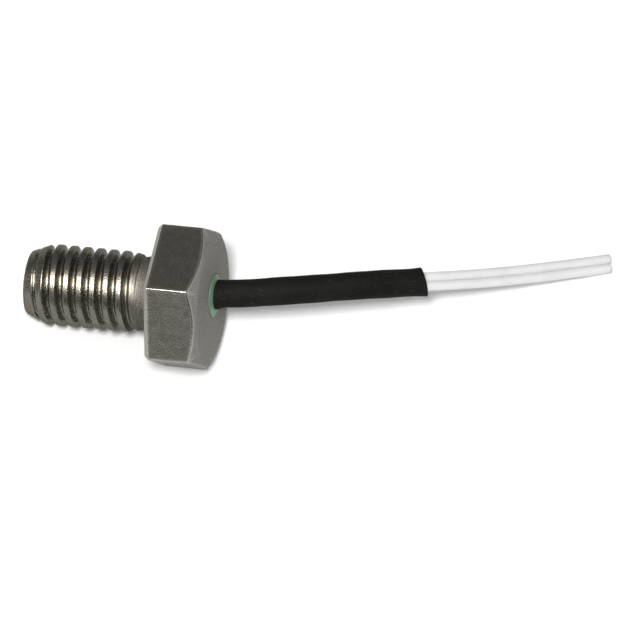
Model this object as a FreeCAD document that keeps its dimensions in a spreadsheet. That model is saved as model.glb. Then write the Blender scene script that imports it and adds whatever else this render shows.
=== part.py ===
"""Screw-in temperature probe, lying on a table as it comes to rest.

A short M6 hexagon bolt is drilled from its head almost to its tip. A thermistor bead sits at the bottom
of the hole, its two legs are soldered to a pair of thin insulated wires, a shrink sleeve holds the pair
together where it leaves the head, and resin fills the rest of the hole.

The bolt is drawn along its own Z axis: Z = 0 is the underside of the head, the head rises to +Z and the
thread goes down to -Z. It is then laid down, resting on one flat of the head and the end of the thread.
Lengths are millimetres and angles degrees.
"""
import FreeCAD, Part
import math
import os
import re

import Sketcher

doc = FreeCAD.newDocument("temperature_probe")

# Driving sizes
SIZES = (
    ("across_flats", 10.0, "hexagon head, flat to flat"),
    ("head_height", 4.0, "hexagon head, underside to end face"),
    ("crown_radius", 4.62, "flat end face inside the head's chamfer"),
    ("crown_angle", 30.0, "slope of the head's chamfer"),
    ("underside_bevel", 0.25, "bevel round the head's underside"),
    ("shank_length", 9.8, "underside of the head to the thread's end"),
    ("neck_diameter", 5.4, "plain neck under the head"),
    ("neck_length", 1.6, "underside of the head to the end of the neck"),
    ("neck_fillet", 0.4, "rounding between neck and head"),
    ("runout_end", 2.6, "underside of the head to the first full thread"),
    ("thread_major", 5.96, "thread, outside diameter"),
    ("thread_pitch", 1.0, "thread, crest to crest"),
    ("crest_width", 0.28, "flat on top of each thread"),
    ("root_width", 0.1, "flat at the bottom of each thread"),
    ("first_root", 2.5, "underside of the head to the middle of the first thread root"),
    ("tip_taper", 1.55, "length of the tapered end of the thread"),
    ("tip_radius", 2.4, "end of the taper"),
    ("tip_edge", 0.15, "edge break at the very end"),
    ("bore_offset", 0.35, "drilled hole, sideways from the bolt's axis"),
    ("head_bore", 3.2, "diameter of the wide part of the hole"),
    ("head_bore_depth", 4.4, "end face to the step in the hole"),
    ("shank_bore", 2.6, "diameter of the narrow part of the hole"),
    ("bore_depth", 11.6, "end face to the end of the straight hole"),
    ("drill_angle", 118.0, "point of the drill"),
    ("mouth_break", 0.05, "edge break at the hole's mouth"),
    ("resin_rise", 0.12, "how far the resin stands proud of the end face"),
    ("resin_shoulder", 0.1, "rounding of the resin's edge"),
    ("bead_diameter", 1.7, "coated thermistor bead, across"),
    ("tail_length", 1.5, "middle of the bead to the end of its tail"),
    ("tail_diameter", 1.16, "end of the bead's tail"),
    ("bead_gap", 1.4, "end of the straight hole to the middle of the bead"),
    ("chip_side", 0.8, "square side of the thermistor chip"),
    ("leg_diameter", 0.22, "bare legs of the thermistor"),
    ("leg_overlap", 0.5, "middle of the bead to the lower end of the legs"),
    ("joint_gap", 0.5, "end of the bead's tail to the insulating tubes"),
    ("solder_length", 1.6, "solder round each joint"),
    ("solder_diameter", 0.54, "solder round each joint"),
    ("joint_tube_length", 2.7, "insulating tube over each joint"),
    ("wire_diameter", 0.75, "insulated wire, outside"),
    ("conductor_diameter", 0.38, "stranded conductor"),
    ("wire_spacing", 0.78, "the two wires, middle to middle"),
    ("sleeve_diameter", 2.05, "shrink sleeve, outside"),
    ("sleeve_bore", 1.56, "shrink sleeve, inside"),
    ("sleeve_depth", 3.3, "shrink sleeve, length inside the head"),
    ("sleeve_reach", 15.9, "shrink sleeve, length outside the head"),
    ("lead_reach", 27.56, "mouth of the hole to the ends of the wires, straight ahead"),
    ("wire_stagger", 0.25, "how much shorter the second wire is cut"),
)

# Places that follow from the sizes: the bead hangs over the end of the hole, the joints over the bead
PLACES = (
    ("bead_depth", "=bore_depth - head_height - bead_gap", "underside of the head to the middle of the bead"),
    ("joint_middle", "=bead_depth - tail_length - joint_gap - joint_tube_length + solder_length / 2",
     "underside of the head to where leg and wire meet"),
)

sheet = doc.addObject("Spreadsheet::Sheet", "Sizes")
for row, (alias, value, meaning) in enumerate(SIZES + PLACES, start=1):
    sheet.set(f"A{row}", meaning)
    sheet.set(f"B{row}", str(value))
    sheet.setAlias(f"B{row}", alias)
doc.recompute()

ALIASES = re.compile(r"\b(" + "|".join(alias for alias, _, _ in SIZES + PLACES) + r")\b")


def size(text):
    """A formula in the sheet's own words, ready to bind to a property."""
    return ALIASES.sub(r"Sizes.\1", text)


# Sketch helpers
def plane_of(body, role):
    return next(feature for feature in body.Origin.OriginFeatures if feature.Role == role)


def new_sketch(body, name, role):
    sketch = body.newObject("Sketcher::SketchObject", name)
    sketch.AttachmentSupport = [(plane_of(body, role), "")]
    sketch.MapMode = "FlatFace"
    return sketch


def place_point(sketch, line, across, along):
    """Ties the start of a line to two formulas, measured from the sketch's origin."""
    for kind, formula in (("DistanceX", across), ("DistanceY", along)):
        if formula == "0":
            axis = -2 if kind == "DistanceX" else -1
            sketch.addConstraint(Sketcher.Constraint("PointOnObject", line, 1, axis))
            continue
        point = sketch.Geometry[line].StartPoint
        value = point.x if kind == "DistanceX" else point.y
        index = sketch.addConstraint(Sketcher.Constraint(kind, -1, 1, line, 1, value))
        sketch.setExpression(f"Constraints[{index}]", size(formula))


def draw_outline(sketch, corners):
    """A closed outline of straight lines whose corners are pairs of formulas."""
    count = len(corners)
    spread = [2 * math.pi * i / count for i in range(count)]
    aside = sheet.across_flats / 2
    rough = [FreeCAD.Vector(aside + math.cos(turn), math.sin(turn), 0) for turn in spread]
    lines = [Part.LineSegment(rough[i], rough[(i + 1) % count]) for i in range(count)]
    sketch.addGeometry(lines, False)
    for i in range(count):
        sketch.addConstraint(Sketcher.Constraint("Coincident", i, 2, (i + 1) % count, 1))
    for i, (across, along) in enumerate(corners):
        place_point(sketch, i, across, along)


def add_feature(body, kind, name, sketch=None, **formulas):
    feature = body.newObject(f"PartDesign::{kind}", name)
    if sketch is not None:
        feature.Profile = sketch
        sketch.Visibility = False
    for prop, formula in formulas.items():
        feature.setExpression(prop, size(formula))
    return feature


def turn_profile(body, kind, name, corners, role="XZ_Plane", axis=("V_Axis",)):
    """A full turn of an outline about the sketch's upright axis."""
    sketch = new_sketch(body, f"{name}_outline", role)
    draw_outline(sketch, corners)
    feature = add_feature(body, kind, name, sketch)
    feature.ReferenceAxis = (sketch, list(axis))
    feature.Angle = 360
    return feature


def edge_names(shape, wanted):
    return [f"Edge{i}" for i, edge in enumerate(shape.Edges, start=1) if wanted(edge)]


def on_underside(edge):
    return all(abs(vertex.Z) < 1e-6 for vertex in edge.Vertexes)


# Formulas used more than once
THREAD_DEPTH = "(thread_pitch - crest_width - root_width) / 2 / tan(30 deg)"
FULL_TURNS = ("(floor((shank_length - tip_taper - crest_width / 2 - first_root) / thread_pitch - 0.5) + 1)")
LAST_CREST = f"(first_root + ({FULL_TURNS} - 0.5) * thread_pitch + crest_width / 2)"
TILT = f"atan((across_flats - thread_major) / 2 / ({LAST_CREST} + underside_bevel))"
DRILL_POINT = "(shank_bore / 2 / tan(drill_angle / 2 * 1 deg))"


# The bolt: hexagon head, neck, thread, tip and drilled hole
bolt = doc.addObject("PartDesign::Body", "bolt_body")

hexagon = new_sketch(bolt, "hexagon", "XY_Plane")
half_side = "across_flats / 2 * tan(30 deg)"
draw_outline(hexagon, (
    ("across_flats / 2", f"-{half_side}"),
    ("across_flats / 2", half_side),
    ("0", "across_flats / sqrt(3)"),
    ("-across_flats / 2", half_side),
    ("-across_flats / 2", f"-{half_side}"),
    ("0", "-across_flats / sqrt(3)"),
))
head = add_feature(bolt, "Pad", "head", hexagon, Length="head_height")

beyond_corner = "(across_flats / sqrt(3) + 1)"
turn_profile(bolt, "Groove", "crown", (
    ("crown_radius", "head_height"),
    (beyond_corner, "head_height"),
    (beyond_corner, f"head_height - ({beyond_corner} - crown_radius) * tan(crown_angle * 1 deg)"),
))
doc.recompute()

bevel = add_feature(bolt, "Chamfer", "underside", Size="underside_bevel")
bevel.Base = (doc.crown, edge_names(doc.crown.Shape, on_underside))

turn_profile(bolt, "Revolution", "shank", (
    ("0", "0"),
    ("neck_diameter / 2", "0"),
    ("neck_diameter / 2", "-neck_length"),
    ("thread_major / 2", "-runout_end"),
    ("thread_major / 2", "tip_taper - shank_length"),
    ("tip_radius", "tip_edge - shank_length"),
    ("tip_radius - tip_edge", "-shank_length"),
    ("0", "-shank_length"),
))
doc.recompute()


def is_neck_corner(edge):
    return on_underside(edge) and abs(edge.BoundBox.XMax - sheet.neck_diameter / 2) < 1e-6


rounding = add_feature(bolt, "Fillet", "neck_rounding", Radius="neck_fillet")
rounding.Base = (doc.shank, edge_names(doc.shank.Shape, is_neck_corner))

# Each root is a V of 60 degrees with a flat bottom, one pitch from the next
root_floor = f"thread_major / 2 - {THREAD_DEPTH}"
above_crest = "thread_major / 2 + 0.05"
half_mouth = "((thread_pitch - crest_width) / 2 + 0.05 * tan(30 deg))"
root = turn_profile(bolt, "Groove", "thread_root", (
    (root_floor, "-first_root + root_width / 2"),
    (root_floor, "-first_root - root_width / 2"),
    (above_crest, f"-first_root - {half_mouth}"),
    (above_crest, f"-first_root + {half_mouth}"),
))
doc.recompute()
roots = add_feature(bolt, "LinearPattern", "thread_roots",
                    Length=f"{FULL_TURNS} * thread_pitch", Occurrences=f"{FULL_TURNS} + 1")
roots.Originals = [root]
roots.Direction = (root.Profile[0], ["V_Axis"])
roots.Reversed = True
bolt.Tip = roots
doc.recompute()

# The hole is drilled a little to one side, so its outline turns about an axis of its own
hole_sketch = new_sketch(bolt, "hole_outline", "YZ_Plane")
draw_outline(hole_sketch, (
    ("bore_offset", "head_height"),
    ("bore_offset + head_bore / 2 + mouth_break", "head_height"),
    ("bore_offset + head_bore / 2", "head_height - mouth_break"),
    ("bore_offset + head_bore / 2", "head_height - head_bore_depth"),
    ("bore_offset + shank_bore / 2", "head_height - head_bore_depth"),
    ("bore_offset + shank_bore / 2", "head_height - bore_depth"),
    ("bore_offset", f"head_height - bore_depth - {DRILL_POINT}"),
))
hole = add_feature(bolt, "Groove", "hole", hole_sketch)
hole.ReferenceAxis = (hole_sketch, ["Edge7"])
hole.Angle = 360

# Laid down: the head's flat and the last full thread touch the table, and the bolt is centred over it
bolt.setExpression("Placement", size(
    "placement(vector("
    f"(shank_length - head_height) / 2 * cos({TILT}) + (tip_radius - crown_radius) / 2 * sin({TILT}); 0; "
    f"across_flats / 2 * cos({TILT}) - underside_bevel * sin({TILT})); "
    f"rotation(vector(0; 1; 0); 90 deg - {TILT}))"))
doc.recompute()


# Pieces inside the hole ride on the bolt, about the hole's own axis
def lay_in_hole(piece, along, across="0"):
    piece.setExpression("Placement", size(
        f"bolt_body.Placement * placement(vector(0; bore_offset + {across}; {along}); "
        "rotation(vector(0; 0; 1); 0 deg))"))


def round_bar(name, diameter, length, along, across):
    bar = doc.addObject("Part::Cylinder", name)
    bar.setExpression("Radius", size(f"{diameter} / 2"))
    bar.setExpression("Height", size(length))
    lay_in_hole(bar, along, across)
    return bar


def combine(kind, name, pieces):
    """Joins or cuts a row of pieces, one after another, starting from the first."""
    result = pieces[0]
    for step, tool in enumerate(pieces[1:], start=1):
        last = step == len(pieces) - 1
        stage = doc.addObject(f"Part::{kind}", name if last else f"{name}_step_{step}")
        stage.Base = result
        stage.Tool = tool
        result = stage
    return result


chip = doc.addObject("Part::Box", "thermistor_chip")
chip_thickness = "(wire_spacing - leg_diameter)"
chip.setExpression("Length", size("chip_side"))
chip.setExpression("Width", size(chip_thickness))
chip.setExpression("Height", size("chip_side"))
chip.setExpression("Placement", size(
    "bolt_body.Placement * placement(vector("
    f"-chip_side / 2; bore_offset - {chip_thickness} / 2; -bead_depth - chip_side / 2); "
    "rotation(vector(0; 0; 1); 0 deg))"))

SIDES = {"1": "wire_spacing / 2", "2": "-wire_spacing / 2"}
legs = {}
for number, across in SIDES.items():
    legs[number] = round_bar(f"element_lead_{number}", "leg_diameter",
                             "bead_depth + leg_overlap - joint_middle",
                             "-bead_depth - leg_overlap", across)

# The coating is dipped: a round bead with a tail that runs up the legs
drop_form = doc.addObject("Part::Sphere", "drop_form")
drop_form.setExpression("Radius", size("bead_diameter / 2"))
lay_in_hole(drop_form, "-bead_depth")
tail_form = doc.addObject("Part::Cone", "tail_form")
tail_form.setExpression("Radius1", size("bead_diameter * 0.42"))
tail_form.setExpression("Radius2", size("tail_diameter / 2"))
tail_form.setExpression("Height", size("tail_length"))
lay_in_hole(tail_form, "-bead_depth")
bead = combine("Fuse", "bead_form", [drop_form, tail_form])
combine("Cut", "thermistor_coating", [bead, chip, legs["1"], legs["2"]])
doc.recompute()

# The lead's route: along the hole to its mouth, then over and down to the table
mouth = bolt.Placement.multVec(FreeCAD.Vector(0, sheet.bore_offset, sheet.head_height))
inner_end = bolt.Placement.multVec(FreeCAD.Vector(0, sheet.bore_offset, -sheet.joint_middle))
touch_down = sheet.wire_diameter / 2
drop = mouth.z - touch_down
# Each point ahead and aside as a share of the reach, and its height as a share of the mouth's
LEAD_STEPS = (
    (0.218, 0.071, 1.06),
    (0.419, 0.162, 0.92),
    (0.618, 0.266, 0.62),
    (0.807, 0.382, 0.27),
    (1.0, 0.503, 0.0),
)
route = [inner_end, mouth]
for ahead, aside, height in LEAD_STEPS:
    step = FreeCAD.Vector(ahead, aside, 0) * sheet.lead_reach
    route.append(FreeCAD.Vector(mouth.x + step.x, mouth.y + step.y, touch_down + drop * height))


def left_of(run):
    """The level direction to the left of a run."""
    return FreeCAD.Vector(-run.y, run.x, 0).normalize()


def beside(points, offset):
    """The same route, moved level to one side; a corner slides along the run that leads to it."""
    runs = [b - a for a, b in zip(points, points[1:])]
    moved = [points[0] + left_of(runs[0]) * offset]
    for corner, run, onward in zip(points[1:], runs, runs[1:] + runs[-1:]):
        side = left_of(run)
        next_side = left_of(onward)
        level_run = FreeCAD.Vector(run.x, run.y, 0)
        slide = offset / (1 + side.dot(next_side)) * next_side.dot(level_run) / level_run.Length ** 2
        moved.append(corner + side * offset + run * slide)
    return moved


def smooth_path(points):
    """Straight runs joined by the largest tangent arcs that their lengths allow."""
    edges = []
    start = points[0]
    for before, corner, after in zip(points, points[1:], points[2:]):
        back = before - corner
        onward = after - corner
        reach = 0.45 * min(back.Length, onward.Length)
        back.normalize()
        onward.normalize()
        half_turn = (math.pi - back.getAngle(onward)) / 2
        radius = reach / math.tan(half_turn)
        inward = (back + onward).normalize()
        enter = corner + back * reach
        leave = corner + onward * reach
        middle = corner + inward * (radius / math.cos(half_turn) - radius)
        edges.append(Part.LineSegment(start, enter).toShape())
        edges.append(Part.Arc(enter, middle, leave).toShape())
        print(f"bend of {math.degrees(2 * half_turn):.1f} degrees, radius {radius:.1f}")
        start = leave
    edges.append(Part.LineSegment(start, points[-1]).toShape())
    return edges


def stretch(edges, first, last):
    """The part of a path between two lengths along it."""
    kept = []
    passed = 0.0
    for edge in edges:
        low = max(first - passed, 0.0)
        high = min(last - passed, edge.Length)
        if high - low > 1e-6:
            ends = (edge.getParameterByLength(low), edge.getParameterByLength(high))
            kept.append(edge.Curve.toShape(*ends))
        passed += edge.Length
    return Part.Wire(kept)


def tube_form(path, diameter):
    """A solid round bar along a path, its volume compared with section times length."""
    first = path.OrderedEdges[0]
    start = first.valueAt(first.FirstParameter)
    heading = first.tangentAt(first.FirstParameter)
    ring = Part.Wire(Part.Circle(start, heading, diameter / 2).toShape())
    solid = path.makePipeShell([ring], True, False)
    expected = math.pi * diameter ** 2 / 4 * path.Length
    if abs(solid.Volume - expected) > 0.002 * expected:
        raise ValueError(f"a tube holds {solid.Volume:.3f} and not {expected:.3f}")
    return solid


def add_shape(name, shape):
    piece = doc.addObject("Part::Feature", name)
    piece.Shape = shape
    return piece


lead_path = smooth_path(route)
lead_length = sum(edge.Length for edge in lead_path)
mouth_at = sheet.head_height + sheet.joint_middle
sleeve_path = stretch(lead_path, mouth_at - sheet.sleeve_depth, mouth_at + sheet.sleeve_reach)
sleeve_form = add_shape("sleeve_form", tube_form(sleeve_path, sheet.sleeve_diameter))
sleeve = add_shape("shrink_sleeve", sleeve_form.Shape.cut(tube_form(sleeve_path, sheet.sleeve_bore)))
print(f"lead {lead_length - mouth_at:.2f} outside the head, sleeve {sleeve_path.Length:.2f} in all")

strip = sheet.solder_length / 2
rooms = []
for number, side, stagger in (("1", 1, 0.0), ("2", -1, sheet.wire_stagger)):
    path = smooth_path(beside(route, side * sheet.wire_spacing / 2))
    whole = sum(edge.Length for edge in path) - stagger
    insulated = stretch(path, strip, whole)
    wire_form = add_shape(f"wire_form_{number}", tube_form(insulated, sheet.wire_diameter))
    conductor = add_shape(f"wire_conductor_{number}",
                          tube_form(stretch(path, 0, whole), sheet.conductor_diameter))
    hollow = tube_form(insulated, sheet.conductor_diameter)
    add_shape(f"wire_insulation_{number}", wire_form.Shape.cut(hollow))

    # Leg and conductor meet end to end inside a drop of solder, with a tube over the joint
    joint_bottom = "-joint_middle - solder_length / 2"
    solder_form = round_bar(f"solder_form_{number}", "solder_diameter", "solder_length",
                            joint_bottom, SIDES[number])
    combine("Cut", f"solder_joint_{number}", [solder_form, legs[number], conductor])
    tube_bottom = "-joint_middle + solder_length / 2 - joint_tube_length"
    joint_form = round_bar(f"joint_form_{number}", "wire_diameter", "joint_tube_length",
                           tube_bottom, SIDES[number])
    joint_hollow = round_bar(f"joint_hollow_{number}", "solder_diameter", "joint_tube_length",
                             tube_bottom, SIDES[number])
    combine("Cut", f"joint_sleeve_{number}", [joint_form, joint_hollow])
    into_sleeve = "(head_height - sleeve_depth + wire_diameter / 2)"
    rooms.append(round_bar(f"wire_room_{number}", "wire_diameter", f"{into_sleeve} - ({tube_bottom})",
                           tube_bottom, SIDES[number]))

# The resin takes the form of the hole, stands proud of its mouth, and leaves room for all it holds
resin_form = doc.addObject("PartDesign::Body", "resin_form")
turn_profile(resin_form, "Revolution", "resin_fill", (
    ("0", "head_height + resin_rise"),
    ("head_bore / 2", "head_height + resin_rise"),
    ("head_bore / 2", "head_height - head_bore_depth"),
    ("shank_bore / 2", "head_height - head_bore_depth"),
    ("shank_bore / 2", "head_height - bore_depth"),
    ("0", f"head_height - bore_depth - {DRILL_POINT}"),
))
doc.recompute()


def is_resin_edge(edge):
    top = sheet.head_height + sheet.resin_rise
    on_top = all(abs(vertex.Z - top) < 1e-6 for vertex in edge.Vertexes)
    return on_top and abs(edge.BoundBox.XMax - sheet.head_bore / 2) < 1e-6


shoulder = add_feature(resin_form, "Fillet", "resin_top", Radius="resin_shoulder")
shoulder.Base = (doc.resin_fill, edge_names(doc.resin_fill.Shape, is_resin_edge))
lay_in_hole(resin_form, "0")
combine("Cut", "potting_resin", [resin_form, sleeve_form, *rooms, legs["1"], legs["2"], bead])
doc.recompute()

# Every piece is checked, then written to a file of its own
NODES = (
    "bolt_body", "potting_resin", "thermistor_chip", "thermistor_coating",
    "element_lead_1", "element_lead_2", "solder_joint_1", "solder_joint_2",
    "joint_sleeve_1", "joint_sleeve_2", "wire_conductor_1", "wire_conductor_2",
    "wire_insulation_1", "wire_insulation_2", "shrink_sleeve",
)
failed = [item.Name for item in doc.Objects if {"Invalid", "Error"} & set(item.State)]
if failed:
    raise RuntimeError(f"not computed: {failed}")
os.makedirs("parts", exist_ok=True)
for name in NODES:
    piece = doc.getObject(name)
    piece.Label = name
    shape = piece.Shape
    if shape.isNull() or not shape.isValid() or len(shape.Solids) != 1:
        raise RuntimeError(f"{name} is not one sound solid")
    print(f"{name}: {shape.Volume:.3f} mm3")
for name in NODES:
    doc.getObject(name).Shape.exportStep(f"parts/{name}.step")
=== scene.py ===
# %% [markdown]
# # A screw-in temperature probe
#
# The object is a small bolt, about 14 mm long, with a sensing bead potted in a hole along it. A black shrink
# sleeve comes out of the head, and two thin white wires come out of the sleeve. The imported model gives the
# true sizes and places. This script gives each visible piece its surface: the thread gets its helix, the
# sleeve its shrunk skin, the wires their strands, and everything its finish.
#
# Lengths are metres, except where a name ends in mm. The bolt is shaped in millimetres, then scaled.

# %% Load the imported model
import math

import bmesh
import bpy
import numpy as np
from mathutils import Matrix, Vector


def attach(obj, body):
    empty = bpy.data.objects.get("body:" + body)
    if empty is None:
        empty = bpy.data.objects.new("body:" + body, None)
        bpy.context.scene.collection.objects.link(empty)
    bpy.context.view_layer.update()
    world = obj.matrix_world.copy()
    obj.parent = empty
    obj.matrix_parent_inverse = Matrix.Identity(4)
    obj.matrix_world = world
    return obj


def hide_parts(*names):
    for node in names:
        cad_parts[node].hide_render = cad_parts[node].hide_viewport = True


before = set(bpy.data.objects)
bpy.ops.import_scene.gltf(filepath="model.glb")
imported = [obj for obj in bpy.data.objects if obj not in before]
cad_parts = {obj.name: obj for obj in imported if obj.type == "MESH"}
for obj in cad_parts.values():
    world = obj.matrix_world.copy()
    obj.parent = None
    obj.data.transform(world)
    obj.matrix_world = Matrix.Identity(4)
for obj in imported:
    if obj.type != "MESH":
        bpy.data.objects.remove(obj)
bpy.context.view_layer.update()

MM = 0.001
scene = bpy.context.scene
print("nodes:", ", ".join(sorted(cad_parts)))

# %% [markdown]
# ## Camera
#
# The photograph was taken from the front and above with a long lens, and the camera was rolled a little. The
# angles come from fitting a standard bolt to the corners of the head and the edges of the thread. A camera
# can be aimed with a constraint, but a matrix built from three directions keeps the roll exact.

# %% Camera
VIEW_AZIMUTH = math.radians(3.783)
VIEW_ELEVATION = math.radians(57.622)
VIEW_ROLL = math.radians(9.665)
VIEW_CENTRE = Vector((14.375, 0.895, 4.874)) * MM
VIEW_WIDTH = 46.859 * MM
VIEW_DISTANCE = 1.2
SENSOR_MM = 36.0


def camera_axes(azimuth, elevation, roll):
    """The camera's right, up and backward directions."""
    level = math.cos(elevation)
    back = Vector((math.sin(azimuth) * level, -math.cos(azimuth) * level, math.sin(elevation)))
    right = Vector((math.cos(azimuth), math.sin(azimuth), 0))
    up = back.cross(right)
    turned_right = right * math.cos(roll) + up * math.sin(roll)
    return turned_right, back.cross(turned_right), back


camera_data = bpy.data.cameras.new("photo_camera")
camera = bpy.data.objects.new("photo_camera", camera_data)
scene.collection.objects.link(camera)
view_right, view_up, view_back = camera_axes(VIEW_AZIMUTH, VIEW_ELEVATION, VIEW_ROLL)
facing = Matrix((view_right, view_up, view_back)).transposed().to_4x4()
camera.matrix_world = Matrix.Translation(VIEW_CENTRE + view_back * VIEW_DISTANCE) @ facing
camera_data.sensor_width = SENSOR_MM
camera_data.lens = SENSOR_MM * VIEW_DISTANCE / VIEW_WIDTH
scene.camera = camera
print(f"camera: lens {camera_data.lens:.0f} mm at {VIEW_DISTANCE} m")

# %% [markdown]
# ## Nodes in few words
#
# Materials and Geometry Nodes are both node trees. One small helper adds a node, sets its options, and
# either fills each input or links it, so the trees below read like a recipe. Two more stand for the nodes
# that are needed most: sums, and a number that follows another.

# %% Node helpers
def put(tree, kind, inputs=None, **options):
    """Adds a node. An input takes a plain value, or a link if it is given another node's output."""
    node = tree.nodes.new(kind)
    for name, value in options.items():
        setattr(node, name, value)
    for key, value in (inputs or {}).items():
        if isinstance(value, bpy.types.NodeSocket):
            tree.links.new(value, node.inputs[key])
        else:
            node.inputs[key].default_value = value
    return node


def maths(tree, operation, *values):
    """A Math node, given by its operation and its values in order."""
    return put(tree, "ShaderNodeMath", dict(enumerate(values)), operation=operation).outputs[0]


def between(tree, value, low, high, start=0.0, end=1.0, **options):
    """A number that goes from low to high, and no further, as a value goes from start to end."""
    limits = {"Value": value, "From Min": start, "From Max": end, "To Min": low, "To Max": high}
    return put(tree, "ShaderNodeMapRange", limits, **options).outputs["Result"]


# %% [markdown]
# ## Effects that several finishes share
#
# Every surface on a small thing like this is slightly uneven at two sizes: soft patches, and a fine grain.
# Both are built once as a shader group and placed in each material with its own spacing. A second group
# draws sparse fine scuffs, for the sleeve and the steel. They read Object coordinates, which are metres
# here, so a spacing of 0.3 mm is a noise scale of about 3300.

# %% Shared surface groups
def shader_group(name, inputs, outputs):
    """An empty shader group with number sockets, and its two ends."""
    tree = bpy.data.node_groups.new(name, "ShaderNodeTree")
    for label, value in inputs:
        socket = tree.interface.new_socket(name=label, in_out="INPUT", socket_type="NodeSocketFloat")
        socket.default_value = value
    for label in outputs:
        tree.interface.new_socket(name=label, in_out="OUTPUT", socket_type="NodeSocketFloat")
    return tree, tree.nodes.new("NodeGroupInput"), tree.nodes.new("NodeGroupOutput")


def make_uneven_surface():
    """Two masks, of soft patches and of fine grain, each a noise spread over the range from 0 to 1."""
    tree, given, result = shader_group(
        "uneven_surface", [("Patch Size mm", 0.5), ("Grain Size mm", 0.08)], ["Patches", "Grain"])
    place = put(tree, "ShaderNodeTexCoord").outputs["Object"]
    for label, source, detail in (("Patches", "Patch Size mm", 3.0), ("Grain", "Grain Size mm", 2.0)):
        scale = maths(tree, "DIVIDE", 1 / MM, given.outputs[source])
        noise = put(tree, "ShaderNodeTexNoise", {"Vector": place, "Scale": scale, "Detail": detail})
        spread = between(tree, noise.outputs["Fac"], 0.0, 1.0, start=0.3, end=0.7)
        tree.links.new(spread, result.inputs[label])
    return tree


def make_scuffs():
    """A mask of sparse lines: a noise drawn out along X, of which only the highest places are kept."""
    tree, given, result = shader_group(
        "scuffs", [("Length mm", 2.0), ("Width mm", 0.06), ("Share", 0.2)], ["Scuffs"])
    place = put(tree, "ShaderNodeTexCoord").outputs["Object"]
    along = maths(tree, "DIVIDE", 1 / MM, given.outputs["Length mm"])
    across = maths(tree, "DIVIDE", 1 / MM, given.outputs["Width mm"])
    stretch = put(tree, "ShaderNodeCombineXYZ", {"X": along, "Y": across, "Z": across})
    lines = put(tree, "ShaderNodeVectorMath", {0: place, 1: stretch.outputs[0]}, operation="MULTIPLY")
    noise = put(tree, "ShaderNodeTexNoise", {"Vector": lines.outputs[0], "Scale": 1.0, "Detail": 1.0})

    # A larger share lowers the limit above which the noise shows
    limit = maths(tree, "SUBTRACT", 0.75, maths(tree, "MULTIPLY", given.outputs["Share"], 0.5))
    full = maths(tree, "ADD", limit, 0.08)
    tree.links.new(between(tree, noise.outputs["Fac"], 0.0, 1.0, start=limit, end=full),
                   result.inputs["Scuffs"])
    return tree


UNEVEN_SURFACE = make_uneven_surface()
SCUFFS = make_scuffs()
print("shared groups:", UNEVEN_SURFACE.name, SCUFFS.name)

# %% [markdown]
# ## Building a finish
#
# A finish here is a Principled shader fed by those groups. The helpers below make a bare material, place a
# group in it, blend two colours by a mask, turn a height into a bump, and read a number that a mesh keeps on
# its points.

# %% Finish helpers
def bare_finish(name):
    """A new material, its tree and its Principled shader."""
    material = bpy.data.materials.new(name)
    material.use_nodes = True
    return material, material.node_tree, material.node_tree.nodes["Principled BSDF"]


def place_group(tree, group, **values):
    """Places a shared group, its inputs given with underscores for spaces."""
    inputs = {key.replace("_", " "): value for key, value in values.items()}
    return put(tree, "ShaderNodeGroup", inputs, node_tree=group).outputs


def blend(tree, mask, low, high):
    """One colour where the mask is 0, another where it is 1."""
    # A Mix node has sockets for each kind of data: 0, 6 and 7 go in and 2 comes out where it mixes colours
    node = put(tree, "ShaderNodeMix", data_type="RGBA")
    for socket, value in zip((node.inputs[0], node.inputs[6], node.inputs[7]), (mask, low, high)):
        if isinstance(value, bpy.types.NodeSocket):
            tree.links.new(value, socket)
        else:
            socket.default_value = value
    return node.outputs[2]


def bumps(tree, shader, height, depth_mm):
    """Lets a height between 0 and 1 tilt the light on the surface, as if it were this deep."""
    bump = put(tree, "ShaderNodeBump", {"Height": height, "Strength": 1.0, "Distance": depth_mm * MM})
    tree.links.new(bump.outputs["Normal"], shader.inputs["Normal"])


def attribute(tree, name):
    return put(tree, "ShaderNodeAttribute", attribute_name=name).outputs["Fac"]


def colour(red, green, blue):
    return (red, green, blue, 1.0)


# %% [markdown]
# ## The lead's route
#
# The lead leaves the hole along the hole's own slope, passes over the edge of the head and comes down to the
# table. Its line is one NURBS curve, and its control points are the route that the solid tubes follow.
# Blender turns the curve into points, and the sleeve, the insulation and the strands all keep to them.

# %% Route of the lead
HOLE_OFFSET = 0.35 * MM
WIRE_DIAMETER = 0.75 * MM
WIRE_SPACING = 0.78 * MM
WIRE_STAGGER = 0.25 * MM
ROUTE = [Vector(point) * MM for point in (
    (0.324, 0.35, 4.264), (6.448, 0.35, 5.739), (12.457, 2.307, 6.061), (17.996, 4.815, 5.310),
    (23.481, 7.681, 3.701), (28.689, 10.878, 1.823), (34.009, 14.213, 0.375))]


def beside(points, offset):
    """The same route, moved level to one side; a corner slides along the run that leads to it."""
    runs = [end - start for start, end in zip(points, points[1:])]
    sides = [Vector((-run.y, run.x, 0)).normalized() for run in runs]
    moved = [points[0] + sides[0] * offset]
    for i, corner in enumerate(points[1:]):
        side = sides[i]
        next_side = sides[min(i + 1, len(sides) - 1)]
        level_run = Vector((runs[i].x, runs[i].y, 0))
        slide = offset / (1 + side.dot(next_side)) * next_side.dot(level_run) / level_run.length_squared
        moved.append(corner + side * offset + runs[i] * slide)
    return moved


def route_curve(name, points):
    """One smooth NURBS line with the route's points as its control points."""
    data = bpy.data.curves.new(name, "CURVE")
    data.dimensions = "3D"
    spline = data.splines.new("NURBS")
    spline.points.add(len(points) - 1)
    for control, point in zip(spline.points, points):
        control.co = (*point, 1.0)
    spline.order_u = 3
    spline.use_endpoint_u = True
    spline.resolution_u = 24
    return bpy.data.objects.new(name, data)


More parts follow.
